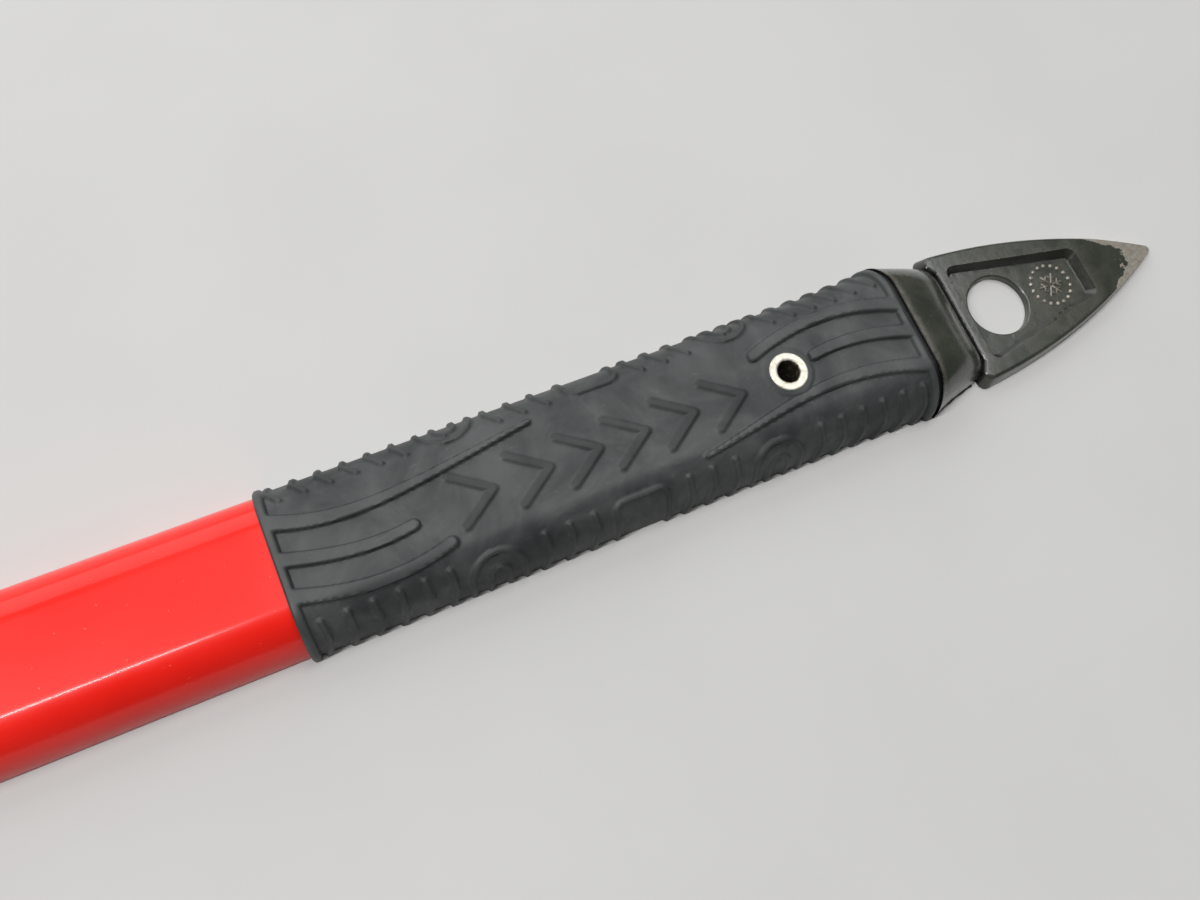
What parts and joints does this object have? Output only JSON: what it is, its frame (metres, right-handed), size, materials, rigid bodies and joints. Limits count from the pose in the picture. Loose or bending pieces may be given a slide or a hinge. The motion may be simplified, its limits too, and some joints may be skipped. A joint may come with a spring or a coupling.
{
  "type": "ice axe",
  "caption": "Ice axe with a toothed pick, an adze, an oval red shaft, a ribbed black rubber grip and a forged spike with a karabiner eye.",
  "frame": {"origin": "centre of the spike's karabiner eye, on the shaft's axis and in the head's mid-plane", "axes": "+X along the shaft to the spike's point, +Z square to the shaft's broad faces (the axe lies on its side), +Y towards the adze's side, so the pick points to -Y"},
  "size_m": [0.6, 0.248, 0.0524],
  "materials": {
    "shaft_red_paint": "gloss",
    "foam": "matte",
    "grip_rubber": "matte",
    "gasket_rubber": "matte",
    "nylon": "satin",
    "eyelet_metal": "satin",
    "spike_paint": "satin",
    "head_paint": "satin",
    "blade_steel": "satin",
    "bolt_steel": "satin",
    "washer_steel": "satin",
    "dowel_steel": "satin",
    "rivet_alloy": "satin"
  },
  "bodies": {
    "root": {"shaft_tube": "shaft_red_paint", "shaft_plug_head": "foam", "shaft_plug_tail": "foam", "grip_sleeve": "grip_rubber", "tail_gasket": "gasket_rubber", "tang_packer_upper": "nylon", "tang_packer_lower": "nylon", "leash_eyelet": "eyelet_metal", "spike": "spike_paint", "head_body": "head_paint", "pick_blade": "blade_steel", "adze_blade": "blade_steel", "pick_bolt": "bolt_steel", "pick_spring_washer": "washer_steel", "pick_nut": "bolt_steel", "adze_bolt": "bolt_steel", "adze_spring_washer": "washer_steel", "adze_nut": "bolt_steel", "pick_dowel": "dowel_steel", "adze_dowel": "dowel_steel", "head_rivet_upper": "rivet_alloy", "head_rivet_lower": "rivet_alloy"}
  },
  "joints": []
}
